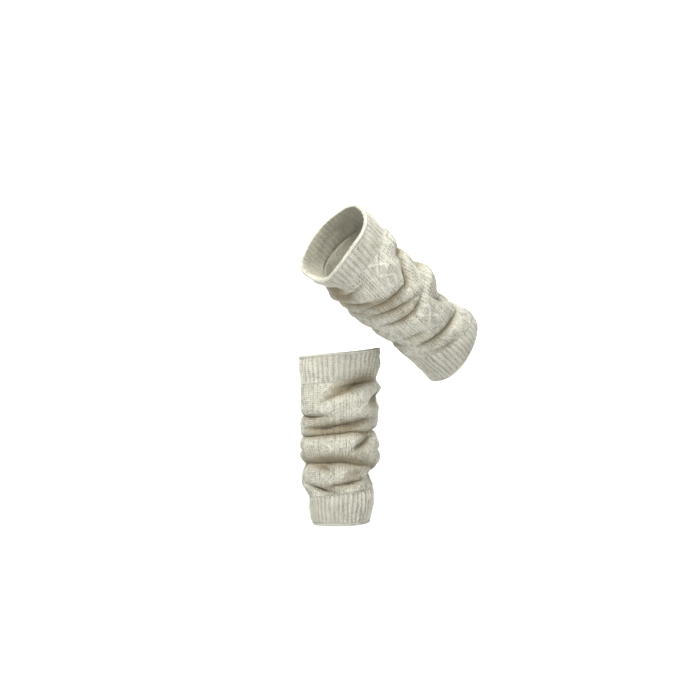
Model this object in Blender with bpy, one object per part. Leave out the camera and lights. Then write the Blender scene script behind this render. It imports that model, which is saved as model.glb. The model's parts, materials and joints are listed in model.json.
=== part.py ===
"""A pair of cable-knit leg warmers, each a hollow tube pushed down into soft folds.

One hangs straight, the other slants down to the right and away to the back. Each is knitted in
three stretches: a ribbed cuff, a cabled body and a ribbed cuff. The wall is a loft: rings of
points run round the tube, and each ring is worked out from the tables of sections and folds.
The origin is the middle of the straight one's upper mouth, with +Z up and the front at -Y.
"""

from collections import namedtuple

import bpy
import numpy as np

MM = 0.001

# Driving sizes, in millimetres
WALL = 2.5               # knitted wall between the raised ribs and cables
SEAM_GAP = 0.3           # clear space between two stretches of one tube
RIBS = 44                # two-by-two ribs round a cuff
RIB_HEIGHT = 1.7
CABLES = 6               # cable panels round a body
CABLE_HEIGHT = 2.4
CREASE_ROUNDING = 1.0    # how softly the bottom of a crease turns
FLARE_LENGTH = 14.0      # how far down a flared mouth takes to straighten
SEAM_CALM = 6.0          # how far from a seam the cloth slides freely
INNER_REACH = 4.5        # how far along the tube the inner face looks for a crease
INNER_SIDES = (-12.0, -6.0, 0.0, 6.0, 12.0)  # degrees to either side where it looks for one

# Rings of points along each stretch, and steps of the fine curve they are read from
CUFF_BANDS = 3
BODY_BANDS = 40
BODY_INNER_BANDS = 20
FINE_STEPS = 320

# Where the outer points of a cuff lie in one rib, and how far each is raised
RIB_PLACES = (0.0, 0.30, 0.70)
RIB_RAISED = (0.0, 1.0, 1.0)

# Where the outer points of a body lie in one cable repeat, in degrees from the cable's middle,
# and how high each stands on the rings of one crossing: two strands part, join and cross
# between two single raised lines
CABLE_PLACES = (-22.0, -18.0, -14.0, -10.0, -5.0, 0.0, 5.0, 10.0, 14.0, 18.0, 22.0)
CABLE_RAISED = (
    (0.0, 0.6, 0.0, 1.0, 1.0, 0.0, 1.0, 1.0, 0.0, 0.6, 0.0),
    (0.0, 0.6, 0.0, 0.6, 1.0, 0.6, 1.0, 0.6, 0.0, 0.6, 0.0),
    (0.0, 0.6, 0.0, 0.0, 1.0, 1.0, 1.0, 0.0, 0.0, 0.6, 0.0),
    (0.0, 0.6, 0.0, 0.6, 1.0, 0.6, 1.0, 0.6, 0.0, 0.6, 0.0),
)

# Outer columns for each column of the plain inner face
CUFF_INNER_EVERY = 6
BODY_INNER_EVERY = 3

WOOL_ROUGHNESS = 0.95
CREAM = (0.62, 0.58, 0.46, 1.0)
SHADED_CREAM = (0.55, 0.50, 0.39, 1.0)

# Half sizes of a tube seen along its own length, at a drop below its upper mouth
Section = namedtuple("Section", "drop right left front back")

# A crease or, with a negative depth, a roll. Angles run round the tube in degrees, with 0 at the
# front, 90 at the right and 180 at the back. Its line lies at drop, sinks by tilt towards the
# right and by bow towards the back. It is deepest at side and fades out over spread. Above and
# below are its half widths. Lap is how far the cloth above it hangs down over it or, where it
# is negative, how far the cloth below it stands up over it.
Fold = namedtuple("Fold", "drop tilt bow side spread depth above below lap")

# The edge of a mouth: its drop at an angle, and how far it flares outwards there
Edge = namedtuple("Edge", "angle drop flare")

# Where two stretches meet: a line round the tube, like a fold's
Seam = namedtuple("Seam", "drop tilt")

# One leg warmer; twist is the angle of the first cable's middle
Tube = namedtuple(
    "Tube", "name top bottom sections folds upper_edge lower_edge upper_seam lower_seam twist")

STANDING_SECTIONS = [
    Section(0, 62.5, 62.0, 61, 60),
    Section(25, 61.5, 61.0, 60, 59),
    Section(43, 60.0, 58.5, 59, 59),
    Section(62, 63.5, 58.5, 63, 62),
    Section(90, 60.5, 60.0, 63, 61),
    Section(122, 61.5, 60.5, 62, 62),
    Section(152, 64.5, 62.5, 62, 61),
    Section(175, 58.5, 59.0, 60, 58),
    Section(198, 52.5, 56.5, 57, 55),
    Section(214, 53.0, 46.5, 55, 52),
    Section(235, 50.0, 45.0, 50, 49),
    Section(256, 45.5, 40.5, 46, 46),
]

STANDING_FOLDS = [
    Fold(62, -22, 0, 30, 98, 13.0, 19, 5, -4),
    Fold(51, -8, 0, 34, 62, 6.5, 3, 12, 1.5),
    Fold(68, -17, 0, 72, 62, -5.5, 9, 9, 0),
    Fold(100, -37, 0, 80, 44, 19.0, 7, 10, 4),
    Fold(89, -4, 0, -60, 76, 10.0, 6, 5, 5),
    Fold(102.5, -8.5, 0, 0, 98, 15.0, 6, 8, 5),
    Fold(118, -5.5, 1.5, -8, 190, 9.5, 6, 5, 5),
    Fold(114, 0, 0, 96, 42, 9.0, 6, 6, 2),
    Fold(155, -37, 0, 42, 28, 14.0, 5, 8, 5),
    Fold(127, 0, 0, 98, 32, 5.0, 5, 5, 0),
    Fold(145, 0, 0, -92, 40, 5.5, 5, 5, 2),
    Fold(144, 0, 0, 94, 40, 6.0, 5, 5, 2),
    Fold(162, 2, 6, -8, 125, 15.0, 12, 5, -3),
    Fold(167, 0, 0, -88, 40, 9.0, 6, 6, 2),
    Fold(180, 0, 0, 90, 50, 20.0, 8, 8, 2),
    Fold(176.5, 11, 0, -28, 40, 6.5, 5, 6, 2.5),
    Fold(178, -5, 0, 28, 28, 5.0, 5, 8, 1),
    Fold(191.5, -8, 0, 15, 54, 12.5, 5, 6, 6),
    Fold(186, 0, 0, -90, 36, 4.0, 5, 5, 1),
    Fold(208, 15, 0, -35, 46, 10.5, 7, 5, 4),
    Fold(212, -7, 0, 30, 90, 2.5, 7, 6, 1.5),
    Fold(74, 8, 0, 178, 84, 12.0, 9, 6, 6),
    Fold(101, -9, 0, -172, 78, 12.0, 8, 6, 6),
    Fold(146, 6, 0, 168, 68, 11.0, 8, 6, 6),
    Fold(184, -7, 0, -176, 80, 12.0, 8, 6, 6),
    Fold(206, 5, 0, 170, 72, 8.0, 6, 5, 4),
]

STANDING_UPPER_EDGE = [Edge(-90, 5.5, 0.5), Edge(0, -0.5, 0), Edge(90, -7.5, 0.5), Edge(180, -0.5, 0)]
STANDING_LOWER_EDGE = [Edge(-90, 257, 0), Edge(0, 256, 0), Edge(90, 255, 0), Edge(180, 256, 0)]

RAISED_SECTIONS = [
    Section(0, 62.0, 60.5, 62, 61),
    Section(20, 63.0, 64.0, 62, 61),
    Section(40, 62.0, 61.0, 61, 61),
    Section(60, 67.0, 66.5, 63, 63),
    Section(90, 64.5, 64.0, 63, 62),
    Section(115, 65.5, 62.5, 62, 61),
    Section(145, 71.5, 58.5, 62, 60),
    Section(165, 63.5, 58.0, 61, 59),
    Section(195, 58.0, 54.5, 59, 57),
    Section(225, 61.0, 50.5, 57, 55),
    Section(250, 65.0, 50.0, 54, 53),
    Section(272, 56.0, 51.5, 51, 51),
]

RAISED_FOLDS = [
    Fold(46, 0, 0, -88, 58, 13.0, 6, 5, 1),
    Fold(56, -2, 0, -42, 60, 7.5, 6, 6, 4),
    Fold(62, 12, 0, 62, 36, 6.0, 8, 7, 1),
    Fold(93, 16, 0, -66, 62, 13.0, 7, 6, 5),
    Fold(72, 12, 0, -76, 48, 9.0, 6, 5, 3),
    Fold(79, 0, 0, 90, 44, 18.0, 7, 7, 5),
    Fold(130, -61, 0, 40, 27, 14.0, 6, 8, 6),
    Fold(102, 9.5, 0, -8, 64, 13.0, 8, 6, 8),
    Fold(113, 14, 0, -82, 44, 10.0, 6, 5, 3),
    Fold(119, 0, 0, 92, 46, 18.0, 8, 7, 5),
    Fold(123.5, 16, 0, -20, 66, 10.0, 7, 6, 6),
    Fold(144, 0, -28, -8, 66, 12.0, 7, 6, 6),
    Fold(148, 6, 0, -88, 42, 9.0, 6, 6, 3),
    Fold(78, 126, 0, 46, 17, 6.0, 9, 9, 0),
    Fold(174, 0, 0, 92, 50, 20.0, 12, 10, 4),
    Fold(209, 0, 0, 92, 40, 9.0, 7, 7, 2),
    Fold(183, 17, 0, -25, 36, 7.5, 6, 6, 4),
    Fold(185, 0, 0, -86, 50, 19.0, 9, 7, 3),
    Fold(201, 0, 0, -65, 42, -4.0, 9, 9, 0),
    Fold(202, 10, 10, 12, 84, 14.0, 7, 6, 6),
    Fold(227, 18, 0, -6, 50, 7.0, 6, 6, 3),
    Fold(60, -6, 0, 178, 84, 11.0, 8, 6, 5),
    Fold(88, 9, 0, -170, 80, 12.0, 8, 6, 6),
    Fold(118, -7, 0, 174, 78, 12.0, 8, 6, 6),
    Fold(149, 6, 0, -174, 82, 13.0, 8, 6, 6),
    Fold(181, -8, 0, 170, 76, 12.0, 8, 6, 6),
    Fold(212, 8, 0, 180, 84, 11.0, 7, 6, 5),
]

RAISED_UPPER_EDGE = [
    Edge(-140, 2, 1),
    Edge(-92, 3, 5),
    Edge(-62, 17, 1),
    Edge(-26, 9, 0),
    Edge(5, 2, 0),
    Edge(48, 3, 0),
    Edge(88, -5, 1),
    Edge(135, -1, 0),
    Edge(180, 1, 0),
]
RAISED_LOWER_EDGE = [Edge(-90, 279, 0), Edge(0, 273, 0), Edge(90, 265, 0), Edge(180, 272, 0)]

STANDING = Tube(
    "standing", np.array([0.0, 0.0, 0.0]), np.array([0.0, 0.0, -256.0]),
    STANDING_SECTIONS, STANDING_FOLDS, STANDING_UPPER_EDGE, STANDING_LOWER_EDGE,
    Seam(42, -6), Seam(209, -7), -20.0)
RAISED = Tube(
    "raised", np.array([-9.0, -130.0, 162.0]), np.array([166.0, 0.0, 1.0]),
    RAISED_SECTIONS, RAISED_FOLDS, RAISED_UPPER_EDGE, RAISED_LOWER_EDGE,
    Seam(40, 0), Seam(231, 17), 14.0)


def clear_scene():
    """Remove the objects that a new scene starts with."""
    for old in list(bpy.data.objects):
        bpy.data.objects.remove(old, do_unlink=True)


def through_rows(x, places, values):
    """Read a smooth curve through a table's rows, held level past its ends."""
    places = np.asarray(places, dtype=float)
    values = np.asarray(values, dtype=float)
    slopes = np.gradient(values, places)
    x = np.clip(x, places[0], places[-1])
    row = np.clip(np.searchsorted(places, x, side="right") - 1, 0, len(places) - 2)
    step = places[row + 1] - places[row]
    u = (x - places[row]) / step
    rise = values[row + 1] - values[row]
    start = slopes[row] * step
    end = slopes[row + 1] * step
    return values[row] + u * (start + u * (3 * rise - 2 * start - end + u * (start + end - 2 * rise)))


def round_the_edge(angle, edge, column):
    """Read one column of a mouth's edge at an angle, closing smoothly on itself."""
    full_turn = 360.0
    rows = sorted(edge, key=lambda row: row.angle)
    places = [row.angle + turn for turn in (-full_turn, 0.0, full_turn) for row in rows]
    values = [getattr(row, column) for row in rows] * 3
    return through_rows(wrapped(angle), places, values)


def wrapped(angle):
    """Bring an angle in degrees between -180 and 180."""
    return (angle + 180.0) % 360.0 - 180.0


def section_radius(tube, angle, drop):
    """Radius of the plain tube, an ellipse with four unlike half sizes."""
    sine = np.sin(np.radians(angle))
    cosine = np.cos(np.radians(angle))
    places = [row.drop for row in tube.sections]
    half = {
        name: through_rows(drop, places, [getattr(row, name) for row in tube.sections])
        for name in ("right", "left", "front", "back")
    }
    across = np.where(sine > 0, half["right"], half["left"])
    deep = np.where(cosine > 0, half["front"], half["back"])
    return across * sine**2 + deep * cosine**2


def folded(tube, angle, drop):
    """How far the folds pull the cloth inwards, and slide it down the tube."""
    turn = np.radians(angle)
    inwards = np.zeros(np.broadcast(angle, drop).shape)
    slide = np.zeros_like(inwards)
    for fold in tube.folds:
        off_side = np.minimum(np.abs(wrapped(angle - fold.side)) / fold.spread, 1.0)
        strength = np.cos(off_side * np.pi / 2) ** 2
        line = fold.drop + fold.tilt * np.sin(turn) + fold.bow * (1 - np.cos(turn))
        past = drop - line
        width = np.where(past < 0, fold.above, fold.below)
        rounded = np.sqrt(past**2 + CREASE_ROUNDING**2) - CREASE_ROUNDING
        inwards += fold.depth * strength * np.exp(-rounded / width)
        from_lip = -past / fold.above if fold.lap > 0 else past / fold.below
        from_lip = np.clip(from_lip, 0.0, None)
        slide += fold.lap * strength * from_lip * np.exp(1 - from_lip)
    return inwards, slide


def seam_line(seam, angles):
    """Drop of the line where two stretches meet, at each angle."""
    return seam.drop + seam.tilt * np.sin(np.radians(angles))


def profile(tube, angle, drop):
    """Where the cloth's outer face lies along a tube and how far from its middle line."""
    upper = round_the_edge(angle, tube.upper_edge, "drop")
    flare = round_the_edge(angle, tube.upper_edge, "flare")
    inwards, slide = folded(tube, angle, drop)
    fade = np.clip((drop - upper) / FLARE_LENGTH, 0.0, 1.0)
    for seam in (tube.upper_seam, tube.lower_seam):
        slide = slide * np.clip(np.abs(drop - seam_line(seam, angle)) / SEAM_CALM, 0.0, 1.0)
    along = drop + slide * fade
    radius = section_radius(tube, angle, drop) - inwards * fade + flare * (1 - fade) ** 2
    return along, radius


def place(tube, angle, along, radius):
    """Points at a place along a tube, as arrays of x, y, z in millimetres."""
    axis = tube.bottom - tube.top
    axis = axis / np.linalg.norm(axis)
    right = np.cross(np.array([0.0, 1.0, 0.0]), axis)
    if right[0] < 0:
        right = -right
    right = right / np.linalg.norm(right)
    front = np.cross(axis, right)
    turn = np.radians(angle)
    across = (radius * np.sin(turn))[..., None]
    forward = (radius * np.cos(turn))[..., None]
    return tube.top + along[..., None] * axis + across * right + forward * front


def fine_steps(start, end):
    """Closely spaced drops between two lines round a tube, a column for each angle."""
    share = np.linspace(0.0, 1.0, FINE_STEPS + 1)[:, None]
    return start[None, :] + share * (end - start)[None, :]


def rings(tube, angles, start, end, bands):
    """Drops of evenly spaced courses between two lines, measured along the folded cloth."""
    fine = fine_steps(start, end)
    around = np.broadcast_to(angles, fine.shape)
    spots = place(tube, around, *profile(tube, around, fine))
    steps = np.linalg.norm(np.diff(spots, axis=0), axis=-1)
    length = np.vstack([np.zeros(len(angles)), np.cumsum(steps, axis=0)])
    courses = np.linspace(0.0, 1.0, bands + 1)
    columns = [
        np.interp(courses * length[-1, col], length[:, col], fine[:, col])
        for col in range(len(angles))
    ]
    return np.stack(columns, axis=1)


def inner_face(tube, angles, start, end, bands):
    """Rings of the plain inner face, which stays a wall's thickness inside every fold."""
    fine = fine_steps(start, end)
    around = np.broadcast_to(angles, fine.shape)
    along = profile(tube, around, fine)[0]
    rows = np.linspace(along[0], along[-1], bands + 1)
    least = np.full(rows.shape, np.inf)
    for side in INNER_SIDES:
        along, radius = profile(tube, around + side, fine)
        for row in range(bands + 1):
            near = np.abs(along - rows[row]) < INNER_REACH
            least[row] = np.minimum(least[row], np.min(np.where(near, radius, np.inf), axis=0))
    return place(tube, np.broadcast_to(angles, rows.shape), rows, least - CABLE_HEIGHT - WALL)


def make_wool(name, colour):
    """Matt cream wool."""
    wool = bpy.data.materials.new(name)
    wool.use_nodes = True
    shader = wool.node_tree.nodes["Principled BSDF"]
    shader.inputs["Base Color"].default_value = colour
    shader.inputs["Roughness"].default_value = WOOL_ROUGHNESS
    shader.inputs["Metallic"].default_value = 0.0
    wool.diffuse_color = colour
    return wool


def split_quad(points, corners):
    """Cut four corners into two triangles along the shorter diagonal."""
    first, second, third, fourth = corners
    if np.linalg.norm(points[first] - points[third]) <= np.linalg.norm(points[second] - points[fourth]):
        return [(first, second, third), (first, third, fourth)]
    return [(second, third, fourth), (second, fourth, first)]


def closed_wall(outer, inner):
    """Join an outer and an inner set of rings into one closed wall, as points and faces.

    Both arrays are ring, column, xyz. The outer rings have a whole number of columns for each
    column of the inner ones.
    """
    outer_rings, outer_columns = outer.shape[:2]
    inner_rings, inner_columns = inner.shape[:2]
    ratio = outer_columns // inner_columns
    points = np.concatenate([outer.reshape(-1, 3), inner.reshape(-1, 3)]) * MM

    def out(ring, column):
        return ring * outer_columns + column % outer_columns

    def into(ring, column):
        return outer_rings * outer_columns + ring * inner_columns + column % inner_columns

    faces = []
    for ring in range(outer_rings - 1):
        for column in range(outer_columns):
            corners = [out(ring, column), out(ring + 1, column),
                       out(ring + 1, column + 1), out(ring, column + 1)]
            faces += split_quad(points, corners)
    for ring in range(inner_rings - 1):
        for column in range(inner_columns):
            corners = [into(ring, column), into(ring, column + 1),
                       into(ring + 1, column + 1), into(ring + 1, column)]
            faces += split_quad(points, corners)
    for column in range(inner_columns):
        steps = range(column * ratio, (column + 1) * ratio + 1)
        upper_rim = [out(0, step) for step in steps]
        lower_rim = [out(outer_rings - 1, step) for step in reversed(steps)]
        faces.append(tuple(upper_rim + [into(0, column + 1), into(0, column)]))
        faces.append(tuple(lower_rim + [into(inner_rings - 1, column), into(inner_rings - 1, column + 1)]))
    return points, faces


def make_stretch(name, tube, angles, raised, inner_every, inner_bands, start, end, colour, folder):
    """Make one knitted stretch of a tube between two lines round it.

    Angles are the outer columns and raised is how far each outer point stands above the
    ground of the knitting, for each ring and column.
    """
    drops = rings(tube, angles, start, end, len(raised) - 1)
    around = np.broadcast_to(angles, drops.shape)
    along, radius = profile(tube, around, drops)
    outer = place(tube, around, along, radius + raised - CABLE_HEIGHT)
    part_of = slice(None, None, inner_every)
    inner = inner_face(tube, angles[part_of], start[part_of], end[part_of], inner_bands)
    points, faces = closed_wall(outer, inner)
    mesh = bpy.data.meshes.new(name)
    mesh.from_pydata(points.tolist(), [], faces)
    mesh.materials.append(make_wool(name + "_wool", colour))
    mesh.update()
    mesh.shade_smooth()
    stretch = bpy.data.objects.new(name, mesh)
    folder.objects.link(stretch)
    return stretch


def cuff_columns():
    """Angles of a cuff's outer points, and how far each is raised."""
    width = 360.0 / RIBS
    angles = np.array([(rib + place) * width for rib in range(RIBS) for place in RIB_PLACES])
    raised = np.tile(np.array(RIB_RAISED) * RIB_HEIGHT, RIBS)
    return angles, raised


def body_columns(twist):
    """Angles of a body's outer points, and how far each is raised on every ring."""
    repeat = twist + np.arange(CABLES)[:, None] * 360.0 / CABLES
    angles = (repeat + np.array(CABLE_PLACES)).ravel()
    ring = np.arange(BODY_BANDS + 1) % len(CABLE_RAISED)
    raised = np.tile(np.array(CABLE_RAISED)[ring], (1, CABLES)) * CABLE_HEIGHT
    return angles, raised


def make_tube(tube, folder):
    """Make the two cuffs and the body of one leg warmer."""
    half_gap = SEAM_GAP / 2
    angles, ribs = cuff_columns()
    raised = np.tile(ribs, (CUFF_BANDS + 1, 1))
    start = round_the_edge(angles, tube.upper_edge, "drop")
    end = seam_line(tube.upper_seam, angles) - half_gap
    make_stretch(tube.name + "_upper_cuff", tube, angles, raised, CUFF_INNER_EVERY, CUFF_BANDS,
                 start, end, SHADED_CREAM, folder)
    start = seam_line(tube.lower_seam, angles) + half_gap
    end = round_the_edge(angles, tube.lower_edge, "drop")
    make_stretch(tube.name + "_lower_cuff", tube, angles, raised, CUFF_INNER_EVERY, CUFF_BANDS,
                 start, end, SHADED_CREAM, folder)
    angles, raised = body_columns(tube.twist)
    start = seam_line(tube.upper_seam, angles) + half_gap
    end = seam_line(tube.lower_seam, angles) - half_gap
    make_stretch(tube.name + "_body", tube, angles, raised, BODY_INNER_EVERY, BODY_INNER_BANDS,
                 start, end, CREAM, folder)


def main():
    """Build the pair."""
    clear_scene()
    folder = bpy.data.collections.new("leg_warmers")
    bpy.context.scene.collection.children.link(folder)
    for tube in (STANDING, RAISED):
        make_tube(tube, folder)


main()
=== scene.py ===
# %% [markdown]
# # A pair of cable-knit leg warmers
# Each leg warmer is one long knitted tube: a ribbed cuff, a cabled body that has slid down into
# soft folds, and a second ribbed cuff. One is straight and upright, and the other slants. This
# lesson makes the cloth as a fine grid of points that runs round and along each tube. It could be
# simulated, but the folds have to lie where they are wanted, so they are worked out from a short
# table of folds instead, and the knitting is raised on top of them.

# %% Load the frame
import json
import math
from collections import namedtuple

import bpy
import numpy as np
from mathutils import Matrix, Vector

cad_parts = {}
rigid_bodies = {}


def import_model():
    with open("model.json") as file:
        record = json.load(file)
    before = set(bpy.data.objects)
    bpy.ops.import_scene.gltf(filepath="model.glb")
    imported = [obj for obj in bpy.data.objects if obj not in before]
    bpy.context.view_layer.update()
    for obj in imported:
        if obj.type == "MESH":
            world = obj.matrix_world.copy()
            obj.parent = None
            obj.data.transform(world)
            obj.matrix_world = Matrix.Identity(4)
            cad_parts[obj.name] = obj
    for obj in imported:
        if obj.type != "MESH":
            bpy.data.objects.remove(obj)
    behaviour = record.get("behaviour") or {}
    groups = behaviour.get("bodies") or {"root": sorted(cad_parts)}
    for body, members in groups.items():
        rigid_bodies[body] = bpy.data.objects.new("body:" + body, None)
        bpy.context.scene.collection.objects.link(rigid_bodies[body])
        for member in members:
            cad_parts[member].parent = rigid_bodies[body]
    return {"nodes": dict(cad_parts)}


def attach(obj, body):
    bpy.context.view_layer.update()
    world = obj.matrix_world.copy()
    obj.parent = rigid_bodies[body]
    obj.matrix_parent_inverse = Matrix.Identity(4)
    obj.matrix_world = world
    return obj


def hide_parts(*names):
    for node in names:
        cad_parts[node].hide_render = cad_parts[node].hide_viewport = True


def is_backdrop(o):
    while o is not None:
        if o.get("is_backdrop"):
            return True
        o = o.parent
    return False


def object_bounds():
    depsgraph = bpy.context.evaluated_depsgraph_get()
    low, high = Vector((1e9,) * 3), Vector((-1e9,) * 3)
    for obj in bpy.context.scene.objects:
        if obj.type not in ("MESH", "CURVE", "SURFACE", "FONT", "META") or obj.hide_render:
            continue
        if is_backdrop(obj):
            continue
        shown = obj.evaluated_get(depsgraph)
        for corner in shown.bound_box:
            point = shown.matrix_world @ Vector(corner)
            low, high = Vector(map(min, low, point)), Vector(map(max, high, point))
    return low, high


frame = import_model()
cad_box = [list(corner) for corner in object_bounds()]
print("nodes:", sorted(frame["nodes"]))

# %% [markdown]
# ## Sizes
# Lengths are in millimetres, as a knitter would measure them, and are turned into metres only
# when a mesh is made. A course is one row of stitches. A wale is one upright line of yarn, here
# one of the two legs of a column of V-shaped stitches, so that a wale is the width of the yarn.
# The cloth is about three millimetres thick between its ribs, because the yarn is chunky.

# %% Yarn and stitch sizes
MM = 0.001
CABLE_HEIGHT = 2.4        # from the ground of the knitting to the top of a cable
RIB_HEIGHT = 1.7
CLOTH = 3.0               # thickness between the ground and the plain inner face
RIBS = 44                 # two-by-two ribs round a cuff
WALES_PER_RIB = 4
CABLES = 6                # cable panels round a body
WALES_PER_REPEAT = 28     # wales in one cable and the panels beside it
COURSE = 3.1              # height of one course along the cloth
CREASE_ROUNDING = 1.0     # radius at the bottom of a crease
FLARE_LENGTH = 14.0       # how far below a mouth it flares, and the folds fade in
SEAM_CALM = 6.0           # how far from a seam the cloth starts to slide over its folds
print("wales round a cuff:", RIBS * WALES_PER_RIB, "and round a body:", CABLES * WALES_PER_REPEAT)

# %% [markdown]
# ## The tables
# A section gives the half sizes of the tube at a drop below its upper mouth. A fold is a crease
# that runs part of the way round: where its line lies, how it tilts and bows, the side where it
# is deepest, how far round it spreads, its depth, its half widths above and below, and how far
# the cloth above it laps over it. A negative depth swells, and a negative lap pulls the cloth
# below the line up over it. Angles run round the tube with 0 at the front, 90 at the right and
# 180 at the back. An edge is a mouth's drop and flare at an angle, and a seam is the slanting
# line where a cuff meets the body.

# %% What a row of each table holds
Section = namedtuple("Section", "drop right left front back")
Fold = namedtuple("Fold", "drop tilt bow side spread depth above below lap")
Edge = namedtuple("Edge", "angle drop flare")
Seam = namedtuple("Seam", "drop tilt")
Tube = namedtuple(
    "Tube", "name top bottom sections folds upper_edge lower_edge upper_seam lower_seam twist")
print("columns of a fold:", *Fold._fields)

# %% The straight leg warmer
STANDING_SECTIONS = [
    Section(0, 62.5, 62.0, 61, 60),
    Section(25, 61.5, 61.0, 60, 59),
    Section(43, 60.0, 58.5, 59, 59),
    Section(62, 63.5, 58.5, 63, 62),
    Section(90, 60.5, 60.0, 63, 61),
    Section(122, 61.5, 60.5, 62, 62),
    Section(152, 64.5, 62.5, 62, 61),
    Section(175, 58.5, 59.0, 60, 58),
    Section(198, 52.5, 56.5, 57, 55),
    Section(214, 53.0, 46.5, 55, 52),
    Section(235, 50.0, 45.0, 50, 49),
    Section(256, 45.5, 40.5, 46, 46),
]

STANDING_FOLDS = [
    Fold(62, -22, 0, 30, 98, 13.0, 19, 5, -4),
    Fold(51, -8, 0, 34, 62, 6.5, 3, 12, 1.5),
    Fold(68, -17, 0, 72, 62, -5.5, 9, 9, 0),
    Fold(100, -37, 0, 80, 44, 19.0, 7, 10, 4),
    Fold(89, -4, 0, -60, 76, 10.0, 6, 5, 5),
    Fold(102.5, -8.5, 0, 0, 98, 15.0, 6, 8, 5),
    Fold(118, -5.5, 1.5, -8, 190, 9.5, 6, 5, 5),
    Fold(114, 0, 0, 96, 42, 9.0, 6, 6, 2),
    Fold(155, -37, 0, 42, 28, 14.0, 5, 8, 5),
    Fold(127, 0, 0, 98, 32, 5.0, 5, 5, 0),
    Fold(145, 0, 0, -92, 40, 5.5, 5, 5, 2),
    Fold(144, 0, 0, 94, 40, 6.0, 5, 5, 2),
    Fold(162, 2, 6, -8, 125, 15.0, 12, 5, -3),
    Fold(167, 0, 0, -88, 40, 9.0, 6, 6, 2),
    Fold(180, 0, 0, 90, 50, 20.0, 8, 8, 2),
    Fold(176.5, 11, 0, -28, 40, 6.5, 5, 6, 2.5),
    Fold(178, -5, 0, 28, 28, 5.0, 5, 8, 1),
    Fold(191.5, -8, 0, 15, 54, 12.5, 5, 6, 6),
    Fold(186, 0, 0, -90, 36, 4.0, 5, 5, 1),
    Fold(208, 15, 0, -35, 46, 10.5, 7, 5, 4),
    Fold(212, -7, 0, 30, 90, 2.5, 7, 6, 1.5),
    Fold(74, 8, 0, 178, 84, 12.0, 9, 6, 6),
    Fold(101, -9, 0, -172, 78, 12.0, 8, 6, 6),
    Fold(146, 6, 0, 168, 68, 11.0, 8, 6, 6),
    Fold(184, -7, 0, -176, 80, 12.0, 8, 6, 6),
    Fold(206, 5, 0, 170, 72, 8.0, 6, 5, 4),
]

STANDING_UPPER_EDGE = [
    Edge(-90, 5.5, 0.5),
    Edge(0, -0.5, 0),
    Edge(90, -7.5, 0.5),
    Edge(180, -0.5, 0),
]
STANDING_LOWER_EDGE = [
    Edge(-90, 257, 0),
    Edge(0, 256, 0),
    Edge(90, 255, 0),
    Edge(180, 256, 0),
]
print("straight tube:", STANDING_SECTIONS[-1].drop, "mm down its middle")

# %% The slanting leg warmer
RAISED_SECTIONS = [
    Section(0, 62.0, 60.5, 62, 61),
    Section(20, 63.0, 64.0, 62, 61),
    Section(40, 62.0, 61.0, 61, 61),
    Section(60, 67.0, 66.5, 63, 63),
    Section(90, 64.5, 64.0, 63, 62),
    Section(115, 65.5, 62.5, 62, 61),
    Section(145, 71.5, 58.5, 62, 60),
    Section(165, 63.5, 58.0, 61, 59),
    Section(195, 58.0, 54.5, 59, 57),
    Section(225, 61.0, 50.5, 57, 55),
    Section(250, 65.0, 50.0, 54, 53),
    Section(272, 56.0, 51.5, 51, 51),
]

RAISED_FOLDS = [
    Fold(46, 0, 0, -88, 58, 13.0, 6, 5, 1),
    Fold(56, -2, 0, -42, 60, 7.5, 6, 6, 4),
    Fold(62, 12, 0, 62, 36, 6.0, 8, 7, 1),
    Fold(93, 16, 0, -66, 62, 13.0, 7, 6, 5),
    Fold(72, 12, 0, -76, 48, 9.0, 6, 5, 3),
    Fold(79, 0, 0, 90, 44, 18.0, 7, 7, 5),
    Fold(130, -61, 0, 40, 27, 14.0, 6, 8, 6),
    Fold(102, 9.5, 0, -8, 64, 13.0, 8, 6, 8),
    Fold(113, 14, 0, -82, 44, 10.0, 6, 5, 3),
    Fold(119, 0, 0, 92, 46, 18.0, 8, 7, 5),
    Fold(123.5, 16, 0, -20, 66, 10.0, 7, 6, 6),
    Fold(144, 0, -28, -8, 66, 12.0, 7, 6, 6),
    Fold(148, 6, 0, -88, 42, 9.0, 6, 6, 3),
    Fold(78, 126, 0, 46, 17, 6.0, 9, 9, 0),
    Fold(174, 0, 0, 92, 50, 20.0, 12, 10, 4),
    Fold(209, 0, 0, 92, 40, 9.0, 7, 7, 2),
    Fold(183, 17, 0, -25, 36, 7.5, 6, 6, 4),
    Fold(185, 0, 0, -86, 50, 19.0, 9, 7, 3),
    Fold(201, 0, 0, -65, 42, -4.0, 9, 9, 0),
    Fold(202, 10, 10, 12, 84, 14.0, 7, 6, 6),
    Fold(227, 18, 0, -6, 50, 7.0, 6, 6, 3),
    Fold(60, -6, 0, 178, 84, 11.0, 8, 6, 5),
    Fold(88, 9, 0, -170, 80, 12.0, 8, 6, 6),
    Fold(118, -7, 0, 174, 78, 12.0, 8, 6, 6),
    Fold(149, 6, 0, -174, 82, 13.0, 8, 6, 6),
    Fold(181, -8, 0, 170, 76, 12.0, 8, 6, 6),
    Fold(212, 8, 0, 180, 84, 11.0, 7, 6, 5),
]

RAISED_UPPER_EDGE = [
    Edge(-140, 2, 1),
    Edge(-92, 3, 5),
    Edge(-62, 17, 1),
    Edge(-26, 9, 0),
    Edge(5, 2, 0),
    Edge(48, 3, 0),
    Edge(88, -5, 1),
    Edge(135, -1, 0),
    Edge(180, 1, 0),
]
RAISED_LOWER_EDGE = [
    Edge(-90, 279, 0),
    Edge(0, 273, 0),
    Edge(90, 265, 0),
    Edge(180, 272, 0),
]
print("slanting tube:", RAISED_SECTIONS[-1].drop, "mm down its middle")

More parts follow.
